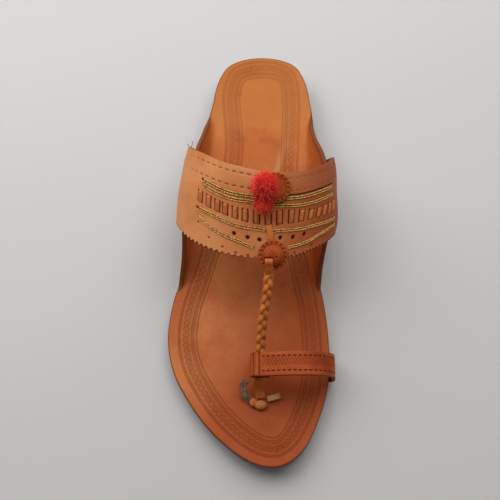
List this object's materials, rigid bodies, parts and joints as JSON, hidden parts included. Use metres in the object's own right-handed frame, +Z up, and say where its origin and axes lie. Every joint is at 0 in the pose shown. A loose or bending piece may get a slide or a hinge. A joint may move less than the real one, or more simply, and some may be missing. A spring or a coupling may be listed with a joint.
{
  "type": "kolhapuri sandal",
  "caption": "Flat leather toe-loop sandal for a right foot, with a wide arched instep band, upturned ears, a plaited thong, rosettes and a wool pompom.",
  "frame": {"origin": "on the floor, at the middle of the flat under the heel", "axes": "+Y to the toes, +Z up from the floor, +X to the outer side of a right foot"},
  "size_m": [0.1031, 0.269, 0.0876],
  "materials": {
    "sole_leather": "vegetable-tanned sole leather, burnished edge",
    "insole_leather": "oiled tan leather with stamped borders",
    "band_leather": "smooth tan leather, satin",
    "plait_leather": "tan leather thongs",
    "raw_leather": "rough flesh side of leather",
    "wool": "red wool yarn",
    "zari": "twisted gold metallic thread"
  },
  "bodies": {
    "root": {"outsole": "sole_leather", "heel_lift": "sole_leather", "insole": "insole_leather", "instep_band": "band_leather", "toe_strap": "band_leather", "plait": "plait_leather", "tail_thong": "plait_leather", "thong_curl": "raw_leather", "thong_end": "raw_leather", "thong_knot": "raw_leather", "front_rosette": "band_leather", "front_button": "band_leather", "rear_rosette": "band_leather", "pompom": "wool"}
  },
  "joints": []
}
